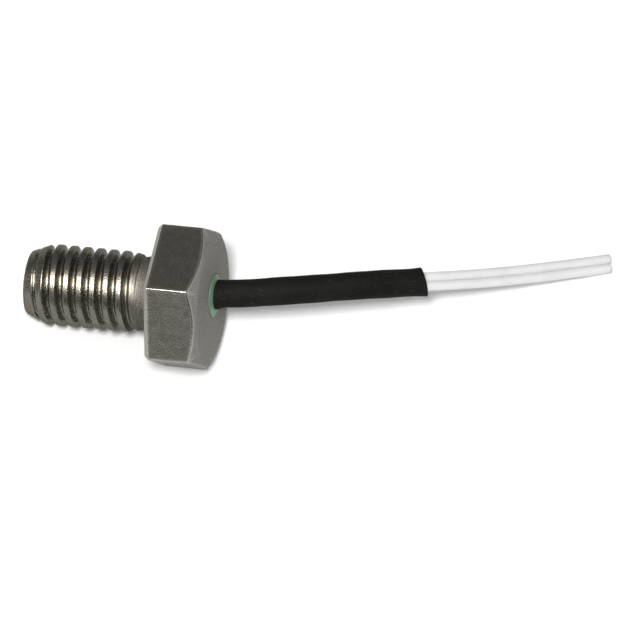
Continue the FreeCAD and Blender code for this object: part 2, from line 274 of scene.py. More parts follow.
# %% Points along the route
def line_points(curve):
    """The curve's own points, as Blender makes them for a curve with no thickness."""
    scene.collection.objects.link(curve)
    evaluated = curve.evaluated_get(bpy.context.evaluated_depsgraph_get())
    mesh = bpy.data.meshes.new_from_object(evaluated)
    points = np.array([vertex.co for vertex in mesh.vertices])
    bpy.data.meshes.remove(mesh)
    scene.collection.objects.unlink(curve)
    return points


def lengths_along(points):
    """How far along the line each point lies."""
    steps = np.linalg.norm(np.diff(points, axis=0), axis=1)
    return np.concatenate([[0.0], np.cumsum(steps)])


def part_of_line(points, first, last, step):
    """The points of a line between two lengths along it, evenly spaced."""
    lengths = lengths_along(points)
    wanted = np.linspace(first, last, int((last - first) / step) + 2)
    return np.stack([np.interp(wanted, lengths, points[:, axis]) for axis in range(3)], axis=1)


centre_line = line_points(route_curve("lead_line", ROUTE))
wire_curves = {
    number: route_curve(f"wire_line_{number}", beside(ROUTE, side * WIRE_SPACING / 2))
    for number, side in ((1, 1), (2, -1))
}
wire_lines = {number: line_points(curve) for number, curve in wire_curves.items()}
shorter = lengths_along(wire_lines[2])[-1] - WIRE_STAGGER
wire_lines[2] = part_of_line(wire_lines[2], 0, shorter, 0.1 * MM)
for number, points in wire_lines.items():
    print(f"wire {number}: {lengths_along(points)[-1] / MM:.2f} mm from joint to cut end")

# %% [markdown]
# ## Tubes along a line
#
# The sleeve and the insulation are both hollow tubes. A bevelled curve would give the outside, but not the
# wall that shows at a cut end, so the tube is laid out as rings: out along the outside, round the rim and
# back along the inside. The rings are closed into one sound skin.

# %% Rings along a line
def unit(directions):
    return directions / np.linalg.norm(directions, axis=-1, keepdims=True)


def level_frames(points):
    """At each point of a line: its direction, the level direction to its left, and the one above."""
    ahead = unit(np.gradient(points, axis=0))
    left = unit(np.stack([-ahead[:, 1], ahead[:, 0], np.zeros(len(ahead))], axis=1))
    return ahead, left, np.cross(ahead, left)


def tube_rings(points, radius, columns):
    """Rings about a line; radius is a number for each ring, or for each ring and column."""
    _, left, above = level_frames(points)
    turn = np.linspace(0, 2 * math.pi, columns, endpoint=False)
    radius = np.broadcast_to(np.asarray(radius, float).reshape(len(points), -1), (len(points), columns))
    spoke = left[:, None] * np.cos(turn)[None, :, None] + above[:, None] * np.sin(turn)[None, :, None]
    return points[:, None] + spoke * radius[..., None]


def skin_rings(rings, closed_loop=False):
    """Vertices and faces of a skin over rows of rings, each ring closed on itself."""
    rows, columns = rings.shape[:2]
    index = np.arange(rows * columns).reshape(rows, columns)
    below = index if closed_loop else index[:-1]
    above = np.roll(index, -1, axis=0) if closed_loop else index[1:]
    faces = np.stack([below, np.roll(below, -1, axis=1), np.roll(above, -1, axis=1), above], axis=-1)
    return rings.reshape(-1, 3), faces.reshape(-1, 4)


# %% Finished pieces
def sound_mesh(name, vertices, faces, values=None, merge=1e-7):
    """A mesh with its doubles merged, its faces outwards and smooth, and numbers kept on its points."""
    mesh = bpy.data.meshes.new(name)
    mesh.from_pydata(vertices.tolist(), [], faces.tolist())
    for label, numbers in (values or {}).items():
        mesh.attributes.new(label, "FLOAT", "POINT").data.foreach_set("value", np.ravel(numbers))
    work = bmesh.new()
    work.from_mesh(mesh)
    bmesh.ops.remove_doubles(work, verts=work.verts, dist=merge)
    bmesh.ops.dissolve_degenerate(work, edges=work.edges, dist=merge)
    bmesh.ops.recalc_face_normals(work, faces=work.faces)
    open_edges = sum(not edge.is_manifold for edge in work.edges)
    for face in work.faces:
        face.smooth = True
    work.to_mesh(mesh)
    work.free()
    triangles = sum(len(polygon.vertices) - 2 for polygon in mesh.polygons)
    print(f"{name}: {triangles} triangles, {open_edges} open edges")
    return mesh


def show_piece(name, mesh, finish, slot, *replaced):
    """Shows a finished mesh as a piece of the probe, in place of the solids that it stands for."""
    mesh.materials.clear()
    mesh.materials.append(finish)
    piece = bpy.data.objects.new(name, mesh)
    scene.collection.objects.link(piece)
    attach(piece, "root")
    if replaced:
        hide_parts(*replaced)
    return piece


# %% [markdown]
# ## White insulation
#
# The wires have a thin extruded plastic skin: white, satin, very slightly uneven, and a little grey where
# fingers and the sleeve have touched it. Light sinks into it a little, which a touch of roughness stands
# for. The blade left the outer edge of the cut slightly broken.

# %% White insulation
WIRE_START = 0.8 * MM
WIRE_STEP = 0.3 * MM
WIRE_COLUMNS = 32
WIRE_BORE = 0.19 * MM
BROKEN_EDGE = 0.03 * MM


def make_white_insulation():
    material, tree, shader = bare_finish("white_insulation")
    uneven = place_group(tree, UNEVEN_SURFACE, Patch_Size_mm=1.6, Grain_Size_mm=0.12)
    skin = blend(tree, uneven["Patches"], colour(0.75, 0.75, 0.755), colour(0.81, 0.81, 0.81))
    tree.links.new(skin, shader.inputs["Base Color"])
    tree.links.new(between(tree, uneven["Grain"], 0.38, 0.5), shader.inputs["Roughness"])
    bumps(tree, shader, uneven["Grain"], 0.004)
    return material


def insulation_mesh(name, line):
    total = lengths_along(line)[-1]
    path = part_of_line(line, WIRE_START, total, WIRE_STEP)
    before_edge = part_of_line(line, total - BROKEN_EDGE, total, BROKEN_EDGE)[:1]
    run = np.concatenate([path[:-1], before_edge, path[-1:]])
    radius = np.full(len(run), WIRE_DIAMETER / 2)
    radius[-1] -= BROKEN_EDGE
    outside = tube_rings(run, radius, WIRE_COLUMNS)
    inside = tube_rings(run, np.full(len(run), WIRE_BORE), WIRE_COLUMNS)
    vertices, faces = skin_rings(np.concatenate([outside, inside[::-1]]), closed_loop=True)
    return sound_mesh(name, vertices, faces)


WHITE_INSULATION = make_white_insulation()
for number, line in wire_lines.items():
    name = f"wire_insulation_{number}_skin"
    show_piece(name, insulation_mesh(name, line), WHITE_INSULATION, "white_insulation",
                                    f"wire_insulation_{number}")

# %% [markdown]
# ## Strands
#
# Inside each wire seven tinned strands are twisted together, and they show at the cut end. Anything that
# follows a path suits Geometry Nodes: one profile holds all seven circles, and sweeping it along the wire's
# curve while the curve's tilt grows gives the twist.

# %% Geometry Nodes helpers
def geometry_tree(name, numbers):
    """A Geometry Nodes tree with named number inputs and a material, and its two ends."""
    tree = bpy.data.node_groups.new(name, "GeometryNodeTree")
    tree.interface.new_socket(name="Geometry", in_out="INPUT", socket_type="NodeSocketGeometry")
    for label, value in numbers.items():
        kind = "NodeSocketInt" if isinstance(value, int) else "NodeSocketFloat"
        tree.interface.new_socket(name=label, in_out="INPUT", socket_type=kind).default_value = value
    tree.interface.new_socket(name="Finish", in_out="INPUT", socket_type="NodeSocketMaterial")
    tree.interface.new_socket(name="Geometry", in_out="OUTPUT", socket_type="NodeSocketGeometry")
    return tree, tree.nodes.new("NodeGroupInput").outputs, tree.nodes.new("NodeGroupOutput")


def end_tree(tree, given, result, geometry):
    """Realizes instances and sets the finish, so that the plain mesh made from the tree keeps all of it."""
    plain = put(tree, "GeometryNodeRealizeInstances", {"Geometry": geometry}).outputs[0]
    dressed = put(tree, "GeometryNodeSetMaterial", {"Geometry": plain, "Material": given["Finish"]})
    tree.links.new(dressed.outputs[0], result.inputs["Geometry"])


def grow(tree, carrier, finish, numbers):
    """Runs a tree on an object and returns the plain mesh that it makes."""
    modifier = carrier.modifiers.new(tree.name, "NODES")
    modifier.node_group = tree
    values = {"Finish": finish, **numbers}
    for item in tree.interface.items_tree:
        if item.item_type == "SOCKET" and item.in_out == "INPUT" and item.name in values:
            modifier[item.identifier] = values[item.name]
    scene.collection.objects.link(carrier)
    evaluated = carrier.evaluated_get(bpy.context.evaluated_depsgraph_get())
    mesh = bpy.data.meshes.new_from_object(evaluated)
    carrier.modifiers.remove(modifier)
    scene.collection.objects.unlink(carrier)
    return mesh


# %% Strand tree
def make_strand_tree():
    numbers = {"Strand Radius": 0.06 * MM, "Ring Radius": 0.122 * MM, "Twist Length": 7.0 * MM, "Steps": 90,
               "Cut Short": 0.0}
    tree, given, result = geometry_tree("twisted_strands", numbers)

    # One strand in the middle and six round it
    circle = put(tree, "GeometryNodeCurvePrimitiveCircle",
                 {"Resolution": 10, "Radius": given["Strand Radius"]}).outputs[0]
    ring = put(tree, "GeometryNodeMeshCircle", {"Vertices": 6, "Radius": given["Ring Radius"]}).outputs[0]
    placed = put(tree, "GeometryNodeInstanceOnPoints", {"Points": ring, "Instance": circle}).outputs[0]
    six = put(tree, "GeometryNodeRealizeInstances", {"Geometry": placed}).outputs[0]
    profile = put(tree, "GeometryNodeJoinGeometry")
    tree.links.new(six, profile.inputs[0])
    tree.links.new(circle, profile.inputs[0])

    # Trim Curve's fifth and sixth inputs are the lengths at which the curve starts and ends
    whole = put(tree, "GeometryNodeCurveLength", {"Curve": given["Geometry"]}).outputs["Length"]
    cut_at = maths(tree, "SUBTRACT", whole, given["Cut Short"])
    kept = {"Curve": given["Geometry"], 4: 0.0, 5: cut_at}
    trimmed = put(tree, "GeometryNodeTrimCurve", kept, mode="LENGTH")
    evenly = put(tree, "GeometryNodeResampleCurve", {"Curve": trimmed.outputs[0], "Count": given["Steps"]})
    travelled = put(tree, "GeometryNodeSplineParameter").outputs["Length"]
    turns = maths(tree, "DIVIDE", travelled, given["Twist Length"])
    tilt = maths(tree, "MULTIPLY", turns, 2 * math.pi)
    twisted = put(tree, "GeometryNodeSetCurveTilt", {"Curve": evenly.outputs[0], "Tilt": tilt})
    swept = put(tree, "GeometryNodeCurveToMesh", {
        "Curve": twisted.outputs[0], "Profile Curve": profile.outputs[0], "Fill Caps": True})
    end_tree(tree, given, result, swept.outputs[0])
    return tree


# %% Strands
def make_tinned_metal():
    material, tree, shader = bare_finish("tinned_metal")
    uneven = place_group(tree, UNEVEN_SURFACE, Patch_Size_mm=0.4, Grain_Size_mm=0.05)
    tin = blend(tree, uneven["Patches"], colour(0.55, 0.54, 0.52), colour(0.74, 0.73, 0.7))
    tree.links.new(tin, shader.inputs["Base Color"])
    tree.links.new(between(tree, uneven["Grain"], 0.25, 0.4), shader.inputs["Roughness"])
    shader.inputs["Metallic"].default_value = 1.0
    return material


TINNED_METAL = make_tinned_metal()
STRANDS = make_strand_tree()
for number, curve in wire_curves.items():
    mesh = grow(STRANDS, curve, TINNED_METAL, {"Cut Short": WIRE_STAGGER if number == 2 else 0.0})
    name = f"wire_strands_{number}"
    mesh.name = name
    show_piece(name, mesh, TINNED_METAL, "tinned_metal", f"wire_conductor_{number}")
    print(f"{name}: {len(mesh.polygons)} faces")

# %% [markdown]
# ## Shrink sleeve
#
# The sleeve was slid over both wires and shrunk with hot air. It is near black and satin, its skin is
# slightly uneven where it gripped the wires, its cut end is a little slanted and flares, and the cut edge is
# browner than the rest. The rings of the tube carry that unevenness, so it shows in the outline too.

# %% Finish of the sleeve
def make_black_sleeve():
    material, tree, shader = bare_finish("black_sleeve")
    uneven = place_group(tree, UNEVEN_SURFACE, Patch_Size_mm=2.2, Grain_Size_mm=0.16)
    marks = place_group(tree, SCUFFS, Length_mm=1.1, Width_mm=0.16, Share=0.16)["Scuffs"]
    skin = blend(tree, uneven["Patches"], colour(0.0075, 0.0075, 0.007), colour(0.012, 0.0118, 0.011))
    scuffed = blend(tree, maths(tree, "MULTIPLY", marks, 0.5), skin, colour(0.045, 0.044, 0.042))
    rim = blend(tree, attribute(tree, "cut_edge"), scuffed, colour(0.05, 0.032, 0.018))
    tree.links.new(rim, shader.inputs["Base Color"])
    tree.links.new(between(tree, uneven["Grain"], 0.6, 0.76), shader.inputs["Roughness"])
    shader.inputs["Specular IOR Level"].default_value = 0.05
    bumps(tree, shader, uneven["Grain"], 0.012)
    return material


# %% Shrink sleeve
SLEEVE_RADIUS = 1.025 * MM
SLEEVE_BORE = 0.78 * MM
MOUTH_AT = 6.3 * MM
SLEEVE_DEPTH = 3.3 * MM
SLEEVE_REACH = 15.9 * MM
SLEEVE_STEP = 0.16 * MM
SLEEVE_COLUMNS = 64
CUT_RIM = 0.035 * MM
CUT_SLANT = 0.36
SLANT_REACH = 1.5 * MM
BROWN_REACH = 0.4 * MM


def sleeve_swell(along, turn):
    """How far the skin stands proud of a plain tube, along and round the sleeve."""
    along_mm = along[:, None] / MM
    slow_ripple = 0.010 * np.sin(0.9 * along_mm + 1.1 * np.sin(turn))
    quick_ripple = 0.007 * np.sin(2.3 * along_mm + 2.0 * turn + 1.0)
    oval = 0.018 * np.cos(2 * turn)
    flare = 0.05 * np.exp(-((along_mm[-1] - along_mm) / 0.5) ** 2)
    gathered = 0.15 * np.clip(np.cos(turn - 3.7), 0, 1) * np.exp(-((along_mm - 3.5) / 0.35) ** 2)
    return (slow_ripple + quick_ripple + oval + flare + gathered) * MM


def sleeve_mesh():
    path = part_of_line(centre_line, MOUTH_AT - SLEEVE_DEPTH, MOUTH_AT + SLEEVE_REACH, SLEEVE_STEP)
    ahead, _, above = level_frames(path)
    end = path[-1]
    outward = ahead[-1]
    along = lengths_along(path)
    to_end = along[-1] - along
    turn = np.linspace(0, 2 * math.pi, SLEEVE_COLUMNS, endpoint=False)
    outside = tube_rings(path, SLEEVE_RADIUS + sleeve_swell(along, turn), SLEEVE_COLUMNS)
    inside = tube_rings(path, np.full(len(path), SLEEVE_BORE), SLEEVE_COLUMNS)

    # Three rings round the cut: a rounded shoulder, the front of the wall, and its inner edge
    spokes = outside[-1] - end
    shoulder = end + spokes * (1 - 0.3 * CUT_RIM / SLEEVE_RADIUS) + outward * CUT_RIM * 0.7
    front = end + spokes * (1 - CUT_RIM / SLEEVE_RADIUS) + outward * CUT_RIM
    inner_front = inside[-1] + outward * CUT_RIM
    rings = np.concatenate([outside, [shoulder, front, inner_front], inside[::-1]])

    # The slant moves the upper side back and the lower side forward, and dies out away from the cut
    near_end = np.clip(1 - to_end / SLANT_REACH, 0, 1)
    share = np.concatenate([near_end, [1, 1, 1], near_end[::-1]])
    raised = (rings - end) @ above[-1]
    rings = rings - outward * (raised * CUT_SLANT * share[:, None])[..., None]

    brown = np.clip(1 - to_end / BROWN_REACH, 0, 1)
    cut_edge = np.concatenate([np.zeros(len(path)), [0.6, 1, 1], brown[::-1]])
    vertices, faces = skin_rings(rings, closed_loop=True)
    marks = {"cut_edge": np.repeat(cut_edge, SLEEVE_COLUMNS)}
    return sound_mesh("shrink_sleeve_skin", vertices, faces, marks)


BLACK_SLEEVE = make_black_sleeve()
sleeve = show_piece("shrink_sleeve_skin", sleeve_mesh(), BLACK_SLEEVE, "black_sleeve", "shrink_sleeve")

# %% [markdown]
# ## The bolt's place
#
# The bolt is shaped upright, as it would be drawn: the underside of the head at height 0, the head above it
# and the thread below, in millimetres. One matrix then lays it on the table, resting on a flat of the head
# and on the last full thread.

# %% The bolt's place
ACROSS_FLATS_MM = 10.0
HEAD_MM = 4.0
SHANK_MM = 9.8
MAJOR_MM = 5.96
PITCH_MM = 1.0
NECK_RADIUS_MM = 2.7
FILLET_MM = 0.4
BEVEL_MM = 0.25
CROWN_MM = 4.62
TIP_RADIUS_MM = 2.4
TIP_EDGE_MM = 0.15
LAST_CREST_MM = 8.14
COLUMNS = 192

tilt = math.atan((ACROSS_FLATS_MM - MAJOR_MM) / 2 / (LAST_CREST_MM + BEVEL_MM))
bolt_origin_mm = Vector((
    (SHANK_MM - HEAD_MM) / 2 * math.cos(tilt) + (TIP_RADIUS_MM - CROWN_MM) / 2 * math.sin(tilt),
    0,
    ACROSS_FLATS_MM / 2 * math.cos(tilt) - BEVEL_MM * math.sin(tilt)))
BOLT_PLACE = (Matrix.Translation(bolt_origin_mm * MM) @ Matrix.Rotation(math.pi / 2 - tilt, 4, "Y")
              @ Matrix.Scale(MM, 4))
print(f"the bolt leans {math.degrees(tilt):.2f} degrees")

# %% [markdown]
# ## Thread
#
# A rolled thread is a surface with a rule: at each place its radius depends only on the distance to the
# nearest crest, and the crest line climbs one pitch in each turn. That is a good job for Geometry Nodes. A
# flat grid is rolled up, one side round the bolt and the other down it, and every point gets its radius from
# the rule. The crests and roots are rounded with smooth minimum and maximum, the thread fades into the plain
# neck below the head, and a cone cuts it down at the tip. Neck and cone were turned, so they carry the fine
# ridges of the tool. The tree is built in three steps: the endless thread, its two ends, and the whole.

# %% Endless thread
def thread_ridge(tree, given, turn, height):
    """The radius of a thread without ends, from the distance to the nearest crest."""
    climbed = maths(tree, "DIVIDE", maths(tree, "SUBTRACT", height, given["Crest Height"]), given["Pitch"])
    phase = maths(tree, "SUBTRACT", climbed, maths(tree, "SUBTRACT", turn, given["Crest Turn"]))
    from_crest = maths(tree, "MULTIPLY", maths(tree, "PINGPONG", phase, 0.5), given["Pitch"])

    # Straight flanks between the crest and the root
    past_crest = maths(tree, "SUBTRACT", from_crest, maths(tree, "DIVIDE", given["Crest Width"], 2.0))
    flats = maths(tree, "ADD", given["Crest Width"], given["Root Width"])
    run = maths(tree, "DIVIDE", maths(tree, "SUBTRACT", given["Pitch"], flats), 2.0)
    drop = maths(tree, "MULTIPLY", past_crest, maths(tree, "DIVIDE", given["Depth"], run))
    flank = maths(tree, "SUBTRACT", given["Outer Radius"], drop)
    crest = maths(tree, "SMOOTH_MIN", given["Outer Radius"], flank, given["Crest Rounding"])
    floor = maths(tree, "SUBTRACT", given["Outer Radius"], given["Depth"])
    return maths(tree, "SMOOTH_MAX", crest, floor, given["Root Rounding"])


# %% Neck and tip
def turned(tree, given, radius, along, marks):
    """A radius with the fine ridges that a turning tool leaves."""
    passes = maths(tree, "DIVIDE", along, given["Mark Spacing"])
    ridges = maths(tree, "SINE", maths(tree, "MULTIPLY", passes, 2 * math.pi))
    return maths(tree, "ADD", radius, maths(tree, "MULTIPLY", ridges, marks))


def tip_cone(tree, given, height):
    """The radius of the cone that cuts the thread down at the tip."""
    above_tip = maths(tree, "SUBTRACT", height, given["Bottom"])
    narrowing = maths(tree, "SUBTRACT", given["Outer Radius"], given["Tip Radius"])
    slope = maths(tree, "DIVIDE", narrowing, given["Taper Length"])
    cone = maths(tree, "ADD", given["Tip Radius"], maths(tree, "MULTIPLY", above_tip, slope))
    return turned(tree, given, cone, above_tip, given["Tip Marks"])


def thread_marks(tree, given, ridge, cut_off, grown):
    """The numbers the steel reads: painted light in the roots where the cone hasn't cut, and a dull neck."""
    sunk = maths(tree, "SUBTRACT", given["Outer Radius"], ridge)
    # Painted light: the deeper a point sits in a root, the lighter its colour, against the shade there
    in_root = between(tree, sunk, 0.0, given["Root Shine"], given["Shine Start"], given["Shine End"])
    uncut = between(tree, cut_off, 1.0, 0.0, end=given["Tip Blend"])
    painted_root_light = maths(tree, "MULTIPLY", in_root, uncut)
    thread_gloss = maths(tree, "MULTIPLY", grown, given["Thread Gloss"])
    return {"wear_and_root_light": maths(tree, "MULTIPLY", painted_root_light, grown),
            "dull": maths(tree, "SUBTRACT", 1.0, thread_gloss)}


# %% Thread tree
def make_thread_tree():
    numbers = {
        "Columns": COLUMNS, "Rows": 250, "Top": -FILLET_MM, "Bottom": TIP_EDGE_MM - SHANK_MM,
        "Pitch": PITCH_MM, "Outer Radius": MAJOR_MM / 2, "Depth": 0.53, "Crest Width": 0.42,
        "Root Width": 0.08, "Crest Rounding": 0.2, "Root Rounding": 0.1, "Crest Height": -2.72,
        "Crest Turn": 0.3425, "Neck Radius": NECK_RADIUS_MM, "Fade Start": 0.7, "Fade End": 2.5,
        "Taper Length": 1.4, "Tip Radius": TIP_RADIUS_MM, "Tip Blend": 0.05, "Neck Marks": 0.012,
        "Tip Marks": 0.0025, "Mark Spacing": 0.2, "Shine Start": 0.1, "Shine End": 0.4, "Root Shine": 0.5,
        "Thread Gloss": 0.72,
    }
    tree, given, result = geometry_tree("rolled_thread", numbers)
    grid = put(tree, "GeometryNodeMeshGrid", {
        "Size X": 1.0, "Size Y": 1.0, "Vertices X": maths(tree, "ADD", given["Columns"], 1),
        "Vertices Y": given["Rows"]})
    spot = put(tree, "ShaderNodeSeparateXYZ", {0: put(tree, "GeometryNodeInputPosition").outputs[0]})
    turn = maths(tree, "ADD", spot.outputs["X"], 0.5)
    down = maths(tree, "ADD", spot.outputs["Y"], 0.5)
    height = between(tree, down, given["Top"], given["Bottom"])

    # The thread grows out of the turned neck, and the cone cuts it down
    ridge = thread_ridge(tree, given, turn, height)
    neck = turned(tree, given, given["Neck Radius"], height, given["Neck Marks"])
    grown = between(tree, maths(tree, "MULTIPLY", height, -1.0), 0.0, 1.0, start=given["Fade Start"],
                    end=given["Fade End"], interpolation_type="SMOOTHSTEP")
    faded = between(tree, grown, neck, ridge)
    radius = maths(tree, "SMOOTH_MIN", faded, tip_cone(tree, given, height), given["Tip Blend"])

    cut_off = maths(tree, "SUBTRACT", faded, radius)
    marked = grid
    for label, value in thread_marks(tree, given, ridge, cut_off, grown).items():
        kept = {"Geometry": marked.outputs[0], "Name": label, "Value": value}
        marked = put(tree, "GeometryNodeStoreNamedAttribute", kept, data_type="FLOAT", domain="POINT")

    angle = maths(tree, "MULTIPLY", turn, 2 * math.pi)
    rolled = put(tree, "ShaderNodeCombineXYZ", {
        "X": maths(tree, "MULTIPLY", radius, maths(tree, "COSINE", angle)),
        "Y": maths(tree, "MULTIPLY", radius, maths(tree, "SINE", angle)), "Z": height})
    shaped = put(tree, "GeometryNodeSetPosition", {
        "Geometry": marked.outputs[0], "Position": rolled.outputs[0]})
    end_tree(tree, given, result, shaped.outputs[0])
    return tree


# %% [markdown]
# ## Steel
#
# The bolt is plain satin steel, greenish grey, with soft mottling from its bath and a fine grain. It isn't
# the same all over: the thread's roots are painted lighter, as painted light against the shade in them,
# corners and edges are rubbed bright, the turned neck and the flat of the tip are dull, and the end face of
# the head is coarse. One finish covers all of it, because the shape keeps three numbers on its points, for
# rubbed wear with the roots' painted light, for dullness and for the faced end, and the finish reads them.
# A dark tint at glancing angles keeps its outline grey against the white table.

# %% Steel
def make_bolt_steel():
    material, tree, shader = bare_finish("bolt_steel")
    uneven = place_group(tree, UNEVEN_SURFACE, Patch_Size_mm=0.55, Grain_Size_mm=0.1)
    marks = place_group(tree, SCUFFS, Length_mm=1.4, Width_mm=0.07, Share=0.12)["Scuffs"]
    dull = attribute(tree, "dull")
    faced = attribute(tree, "faced")
    # Lighter steel where edges are rubbed, and in the thread's roots, where it is painted light against
    # shade
    rubbed_and_root_light = maths(tree, "MULTIPLY", attribute(tree, "wear_and_root_light"), between(tree, uneven["Grain"], 0.45, 1.0))

    bath_grey = blend(tree, uneven["Patches"], colour(0.165, 0.16, 0.134), colour(0.215, 0.208, 0.178))
    faced_grey = blend(tree, uneven["Grain"], colour(0.16, 0.156, 0.144), colour(0.34, 0.33, 0.31))
    dull_grey = blend(tree, uneven["Grain"], colour(0.05, 0.048, 0.042), colour(0.16, 0.155, 0.137))
    grey = blend(tree, dull, blend(tree, faced, bath_grey, faced_grey), dull_grey)
    scored = blend(tree, maths(tree, "MULTIPLY", marks, 0.25), grey, colour(0.3, 0.29, 0.26))
    # The rubbed edges and the roots' painted light share this lighter colour
    tree.links.new(blend(tree, rubbed_and_root_light, scored, colour(0.44, 0.422, 0.385)), shader.inputs["Base Color"])

    matt = maths(tree, "POWER", maths(tree, "MAXIMUM", dull, faced), 2.0)
    satin = between(tree, uneven["Grain"], 0.21, 0.29)
    rough = maths(tree, "ADD", satin, maths(tree, "MULTIPLY", matt, 0.42))
    tree.links.new(maths(tree, "SUBTRACT", rough, maths(tree, "MULTIPLY", rubbed_and_root_light, 0.04)),
                   shader.inputs["Roughness"])
    shader.inputs["Metallic"].default_value = 1.0
    shader.inputs["Specular Tint"].default_value = colour(0.44, 0.43, 0.41)
    mottling = maths(tree, "MULTIPLY", uneven["Patches"], 0.6)
    bumps(tree, shader, maths(tree, "ADD", uneven["Grain"], mottling), 0.006)
    return material


# %% [markdown]
# ## Head, hole and tip
#
# The head is a hexagon, but its chamfer, its end face and its hole are round, so the whole of it can be laid
# out as rings with the same number of points. Each ring has its own radius and height in every direction. A
# section through the head is a line with corners, and the corners are rounded here, because no real edge is
# perfectly sharp and the light on an edge is what the eye reads. Points crowd towards the six corners, where
# the small rounding needs them.

# %% Hexagon
CORNER_ROUNDING_MM = 0.13
CORNER_WEAR_MM = 0.16


def hexagon_turns():
    """Directions round the head, crowded towards the hexagon's corners."""
    per_side = COLUMNS // 6
    share = np.sin(np.linspace(-1, 1, per_side + 1)[:-1] * math.pi / 2) / 2
    return np.concatenate([(side + share) * math.pi / 3 for side in range(6)])


def hexagon_radius(turns):
    """Distance to a hexagon with rounded corners, and how near each direction is to a corner."""
    half = ACROSS_FLATS_MM / 2
    side = np.pi / 3
    from_flat = np.abs((turns + side / 2) % side - side / 2)
    flat = half / np.cos(from_flat)
    from_corner = side / 2 - from_flat
    centre = (half - CORNER_ROUNDING_MM) / math.cos(side / 2)
    inside = np.clip(CORNER_ROUNDING_MM ** 2 - (centre * np.sin(from_corner)) ** 2, 0, None)
    rounded = centre * np.cos(from_corner) + np.sqrt(inside)
    tangent = math.atan((half - CORNER_ROUNDING_MM) * math.tan(side / 2) / half)
    corner_distance = from_corner * half / math.cos(side / 2)
    nearness = np.exp(-(corner_distance / CORNER_WEAR_MM) ** 2)
    return np.where(from_flat > tangent, rounded, flat), nearness


# %% Rows and rings
ROUNDING_STEPS = 5
FLANKING_REACH = 1.6


def round_corners(section, roundings):
    """Rows of radius and height, each corner rounded between two close rows, and which rows are round."""
    rows = [(section[0], 0.0)]
    for before, corner, after, rounding in zip(section, section[1:], section[2:], roundings):
        if rounding == 0:
            rows.append((corner, 0.0))
            continue
        back = unit(before - corner)
        onward = unit(after - corner)
        half_turn = (math.pi - np.arccos(np.clip((back * onward).sum(-1), -1, 1))) / 2
        reach = (rounding * np.tan(half_turn))[:, None]
        rows.append((corner + back * reach * FLANKING_REACH, 0.0))
        for share in np.linspace(0, 1, ROUNDING_STEPS):
            start = corner + back * reach * (1 - share)
            end = corner + onward * reach * share
            rows.append((start + (end - start) * share, 1.0))
        rows.append((corner + onward * reach * FLANKING_REACH, 0.0))
    rows.append((section[-1], 0.0))
    shape, rounded = zip(*rows)
    return np.array(shape), np.array(rounded)


def even_rows(*pairs):
    """Rows whose radius and height are the same all the way round."""
    return np.repeat(np.array(pairs, float)[:, None, :], COLUMNS, axis=1)


def rings_about(rows, turns, shift_mm=0.0):
    """Rows of radius and height, turned into rings about an axis moved sideways."""
    return np.stack([rows[..., 0] * np.cos(turns), rows[..., 0] * np.sin(turns) + shift_mm,
                     np.broadcast_to(rows[..., 1], rows.shape[:2])], axis=-1)


def spread_marks(rows, wear_and_root_light=0.0, faced=0.0, dull=0.0):
    """The three numbers that the steel reads, for every point of some rows."""
    return np.stack(np.broadcast_arrays(wear_and_root_light, faced, dull, rows[..., 0])[:3], axis=-1)


# %% Head
EVEN_TURNS = np.linspace(0, 2 * math.pi, COLUMNS, endpoint=False)
CHAMFER_ANGLE = math.radians(30)
WORN_BEVEL_MM = BEVEL_MM + 0.08
BEVEL_GLEAM_MM = 0.15
GLEAM_FADE_MM = 0.1
UNDERSIDE_MM = 0.02
FACE_FADE_MM = 0.05
EDGE_BAND_MM = 0.2
FIRST_ROW_MM = FILLET_MM + NECK_RADIUS_MM + 0.5
LAST_ROW_MM = 2.3

# Roundings of the underside, the bevel, two plain rows above it, the chamfer and the end face
HEAD_ROUNDINGS_MM = (0.1, 0.08, 0, 0, 0.2, 0.5)


def head_section(edge, chamfer_top):
    """Rows from under the head, round its edge, to the end face."""
    def row(radius, height):
        return np.stack(np.broadcast_arrays(radius, height, edge)[:2], axis=-1)

    return np.array([
        row(FIRST_ROW_MM, 0.0), row(edge - WORN_BEVEL_MM, 0.0), row(edge, WORN_BEVEL_MM),
        row(edge, WORN_BEVEL_MM + 0.1), row(edge, WORN_BEVEL_MM + 0.2), row(edge, chamfer_top),
        row(CROWN_MM, HEAD_MM), row(LAST_ROW_MM, HEAD_MM)])


def head_rings():
    """Rings from the neck, round the head, to the rim of the hole, with their marks."""
    turns = hexagon_turns()
    edge, near_corner = hexagon_radius(turns)
    chamfer_top = HEAD_MM - (edge - CROWN_MM) * math.tan(CHAMFER_ANGLE)
    rows, rounded = round_corners(head_section(edge, chamfer_top), HEAD_ROUNDINGS_MM)
    radius = rows[..., 0]
    height = rows[..., 1]

    # Rubbed bright: the rounded edges outside the end face, the six corners, and the bevel
    on_edges = rounded[:, None] * (radius > CROWN_MM + EDGE_BAND_MM)
    on_corners = near_corner * (radius > edge - EDGE_BAND_MM)
    gleam = np.clip((WORN_BEVEL_MM + BEVEL_GLEAM_MM - height) / GLEAM_FADE_MM, 0, 1)
    on_bevel = gleam * (height > UNDERSIDE_MM)
    wear_and_root_light = np.maximum(np.maximum(on_edges, on_corners), on_bevel)
    faced = np.clip((height - chamfer_top) / FACE_FADE_MM, 0, 1)

    bend = np.linspace(0, math.pi / 2, 6)
    fillet = even_rows(*zip(FILLET_MM + NECK_RADIUS_MM - FILLET_MM * np.cos(bend),
                            FILLET_MM * (np.sin(bend) - 1)))
    rings = np.concatenate([rings_about(fillet, EVEN_TURNS), rings_about(rows, turns)])
    marks = np.concatenate([spread_marks(fillet, dull=1.0), spread_marks(rows, wear_and_root_light=wear_and_root_light, faced=faced)])
    return rings, marks


# %% Hole and tip
HOLE_RADIUS_MM = 1.6
NARROW_RADIUS_MM = 1.3
HOLE_STEP_MM = -0.4
HOLE_END_MM = -7.6
HOLE_POINT_MM = -8.38


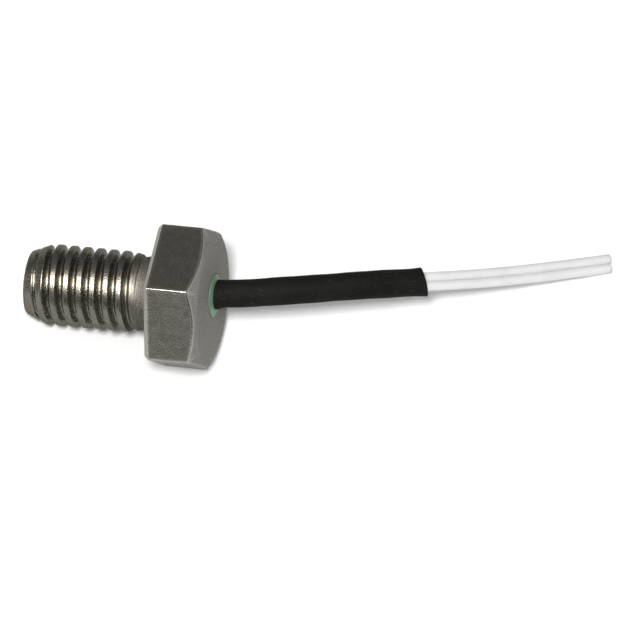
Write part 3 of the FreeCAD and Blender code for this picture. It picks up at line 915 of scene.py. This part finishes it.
def hole_rings():
    """Rings from the broken rim of the hole to its pointed bottom, about the hole's own axis."""
    rim = even_rows((1.72, HEAD_MM), (1.65, HEAD_MM), (1.63, HEAD_MM - 0.01), (1.605, HEAD_MM - 0.04),
                    (HOLE_RADIUS_MM, HEAD_MM - 0.08))
    bore = even_rows((HOLE_RADIUS_MM, HOLE_STEP_MM), (NARROW_RADIUS_MM, HOLE_STEP_MM),
                     (NARROW_RADIUS_MM, HOLE_END_MM), (0.0, HOLE_POINT_MM))
    rows = np.concatenate([rim, bore])
    on_face = (rows[..., 1] > HEAD_MM - 0.02).astype(float)
    return rings_about(rows, EVEN_TURNS, HOLE_OFFSET / MM), spread_marks(rows, faced=on_face)


def tip_rings():
    """Rings from the end of the thread, round the tip's rounded edge, to the middle of its flat."""
    end = -SHANK_MM
    rows = even_rows((TIP_RADIUS_MM, end + TIP_EDGE_MM), (2.375, end + 0.08), (2.32, end + 0.025),
                     (2.24, end), (2.1, end), (0.0, end))
    return rings_about(rows, EVEN_TURNS), spread_marks(rows, dull=1.0)


# %% Bolt
BOLT_MERGE_MM = 0.002


def point_numbers(mesh, label):
    return np.array([item.value for item in mesh.attributes[label].data])


def bolt_mesh(finish):
    """The thread, the head with its hole, and the tip, joined into one closed skin and laid in place."""
    carrier = bpy.data.objects.new("thread_carrier", bpy.data.meshes.new("thread_carrier"))
    thread = grow(make_thread_tree(), carrier, finish, {})
    points = np.array([vertex.co for vertex in thread.vertices])
    quads = np.array([list(polygon.vertices) for polygon in thread.polygons])
    wear_and_root_light = point_numbers(thread, "wear_and_root_light")
    thread_numbers = np.stack([wear_and_root_light, np.zeros(len(wear_and_root_light)), point_numbers(thread, "dull")], axis=-1)

    head, head_numbers = head_rings()
    hole, hole_numbers = hole_rings()
    tip, tip_numbers = tip_rings()
    head_points, head_quads = skin_rings(np.concatenate([head, hole]))
    tip_points, tip_quads = skin_rings(tip)
    faces = np.concatenate([quads, head_quads + len(points), tip_quads + len(points) + len(head_points)])
    parts = (thread_numbers, head_numbers, hole_numbers, tip_numbers)
    wear_and_root_light, faced, dull = np.concatenate([part.reshape(-1, 3) for part in parts]).T
    mesh = sound_mesh("bolt_body_steel", np.concatenate([points, head_points, tip_points]), faces,
                      {"wear_and_root_light": wear_and_root_light, "faced": faced, "dull": dull}, merge=BOLT_MERGE_MM)
    mesh.transform(BOLT_PLACE)
    return mesh


BOLT_STEEL = make_bolt_steel()
show_piece("bolt_body_steel", bolt_mesh(BOLT_STEEL), BOLT_STEEL, "bolt_steel", "bolt_body")

# %% [markdown]
# ## Resin
#
# The hole is filled with green potting resin. It was poured, so its top is smooth, and it stands a little
# proud of the hole with a rounded shoulder. The solid already has that form, so it only needs the finish: a
# milky green with softer and deeper patches, as filled resin has. Towards the wall of the hole the colour
# goes darker and greyer: the distance from the middle of the mouth blends a second colour in.

# %% Resin
RESIN_DARKENS_FROM = 1.36 * MM


def make_green_resin():
    material, tree, shader = bare_finish("green_resin")
    uneven = place_group(tree, UNEVEN_SURFACE, Patch_Size_mm=0.6, Grain_Size_mm=0.1)
    body = blend(tree, uneven["Patches"], colour(0.2, 0.36, 0.21), colour(0.27, 0.45, 0.28))
    spot = put(tree, "ShaderNodeTexCoord").outputs["Object"]
    away = put(tree, "ShaderNodeVectorMath", {0: spot, 1: ROUTE[1]}, operation="DISTANCE").outputs["Value"]
    # Darker and greyer towards the wall of the hole
    near_wall = between(tree, away, 0.0, 1.0, start=RESIN_DARKENS_FROM, end=HOLE_RADIUS_MM * MM)
    tree.links.new(blend(tree, near_wall, body, colour(0.13, 0.17, 0.125)), shader.inputs["Base Color"])
    tree.links.new(between(tree, uneven["Grain"], 0.36, 0.5), shader.inputs["Roughness"])
    shader.inputs["IOR"].default_value = 1.3
    bumps(tree, shader, uneven["Patches"], 0.02)
    return material


GREEN_RESIN = make_green_resin()
print("finish of the resin:", GREEN_RESIN.name)

# %% [markdown]
# ## Pieces inside
#
# The sensing chip, its bead, its legs, the solder and the tubes over the joints are sealed in the resin.
# Their solids and the resin's are right as they are, so they only get a finish.

# %% Finishes of the solids that stay
def plain_finish(name, dark, light, rough, grain_mm):
    """A finish with soft patches of two colours and a fine grain in its roughness."""
    material, tree, shader = bare_finish(name)
    uneven = place_group(tree, UNEVEN_SURFACE, Patch_Size_mm=0.4, Grain_Size_mm=grain_mm)
    tree.links.new(blend(tree, uneven["Patches"], dark, light), shader.inputs["Base Color"])
    tree.links.new(between(tree, uneven["Grain"], rough, rough + 0.15), shader.inputs["Roughness"])
    return material


CHIP_CERAMIC = plain_finish("chip_ceramic", colour(0.03, 0.03, 0.033), colour(0.06, 0.06, 0.062), 0.6, 0.03)
BEAD_COATING = plain_finish("bead_coating", colour(0.01, 0.01, 0.01), colour(0.02, 0.02, 0.02), 0.2, 0.06)
JOINT_TUBE = plain_finish("joint_tube", colour(0.3, 0.12, 0.02), colour(0.38, 0.17, 0.03), 0.3, 0.08)
SOLID_FINISHES = {
    "potting_resin": GREEN_RESIN, "thermistor_chip": CHIP_CERAMIC, "thermistor_coating": BEAD_COATING,
    "element_lead_1": TINNED_METAL, "element_lead_2": TINNED_METAL, "solder_joint_1": TINNED_METAL,
    "solder_joint_2": TINNED_METAL, "joint_sleeve_1": JOINT_TUBE, "joint_sleeve_2": JOINT_TUBE,
}
for node, finish in SOLID_FINISHES.items():
    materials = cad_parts[node].data.materials
    materials.clear()
    materials.append(finish)
print("solids that keep their form:", len(SOLID_FINISHES))

# %% [markdown]
# ## What the lead is
#
# Each wire leaves the head at the hole's mouth and ends in a bare cut.

# %% [markdown]
# ## Table and light
#
# The photograph has a plain white ground and a soft light from near the camera, a little above it and to its
# left. The table is a large pale plane. To the eye and in reflections it glows just enough to reach white,
# and it still takes the probe's shadow. The room is dark at the horizon and dim above, with a soft panel
# straight overhead, which gives the steel its dark flats. Two cards show only in reflections: one draws the
# row of glints along the thread, and one lightens the end of the head.

# %% Table
FLOOR_SIZE = 8.0
FLOOR_GLOW = 0.13


def make_table_finish():
    material, tree, shader = bare_finish("pale_table")
    shader.inputs["Base Color"].default_value = colour(0.9, 0.9, 0.9)
    shader.inputs["Roughness"].default_value = 0.9
    shader.inputs["Specular IOR Level"].default_value = 0.0
    rays = put(tree, "ShaderNodeLightPath").outputs
    mirrored = maths(tree, "MAXIMUM", rays["Is Glossy Ray"], rays["Is Transmission Ray"])
    seen = maths(tree, "MAXIMUM", rays["Is Camera Ray"], mirrored)
    shader.inputs["Emission Color"].default_value = colour(1.0, 1.0, 1.0)
    tree.links.new(maths(tree, "MULTIPLY", seen, FLOOR_GLOW), shader.inputs["Emission Strength"])
    return material


half = FLOOR_SIZE / 2
corners = [(-half, -half, 0), (half, -half, 0), (half, half, 0), (-half, half, 0)]
table_mesh = bpy.data.meshes.new("table")
table_mesh.from_pydata(corners, [], [(0, 1, 2, 3)])
table_mesh.materials.append(make_table_finish())
table = bpy.data.objects.new("table", table_mesh)
scene.collection.objects.link(table)
print(f"table: {FLOOR_SIZE} m wide")

# %% Lamps
LAMP_DISTANCE = 0.9
CARD_DISTANCE = 0.5


def soft_box(name, direction, distance, width, height, watts, tint=(1, 1, 1)):
    """A lamp that faces the probe from a given direction, its width level with the picture."""
    data = bpy.data.lights.new(name, "AREA")
    data.shape = "RECTANGLE"
    data.size = width
    data.size_y = height
    data.energy = watts
    data.color = tint
    lamp = bpy.data.objects.new(name, data)
    outward = Vector(direction).normalized()
    upward = outward.cross(view_right).normalized()
    turned_round = Matrix((upward.cross(outward), upward, outward)).transposed().to_4x4()
    lamp.matrix_world = Matrix.Translation(VIEW_CENTRE + outward * distance) @ turned_round
    scene.collection.objects.link(lamp)
    return lamp


near_camera = view_back + view_up * 0.1 - view_right * 0.08
front_light = soft_box("front_light", near_camera, LAMP_DISTANCE, width=0.14, height=0.14, watts=7.5)
glint_card = soft_box("glint_card", (-0.33, -0.33, 0.88), CARD_DISTANCE, width=0.66, height=0.22, watts=6.0,
                      tint=(1.0, 0.95, 0.9))
side_card = soft_box("side_card", (0.98, 0.15, 0.08), CARD_DISTANCE, width=0.5, height=0.3, watts=0.42)
for card in (glint_card, side_card):
    card.visible_diffuse = False
print("lamps:", front_light.name, glint_card.name, side_card.name)

# %% Room
world = bpy.data.worlds.new("dim_room")
scene.world = world
world.use_nodes = True
sky = world.node_tree
outlook = put(sky, "ShaderNodeSeparateXYZ", {0: put(sky, "ShaderNodeTexCoord").outputs["Generated"]})
upward = outlook.outputs["Z"]
shade = between(sky, upward, 0.05, 0.24, end=0.35)
panel = between(sky, upward, 0.0, 0.3, start=0.9, end=0.98)
background = sky.nodes["Background"].inputs
background["Color"].default_value = colour(1.0, 1.0, 1.0)
sky.links.new(maths(sky, "ADD", shade, panel), background["Strength"])
scene.view_settings.view_transform = "Standard"
print("room:", world.name)
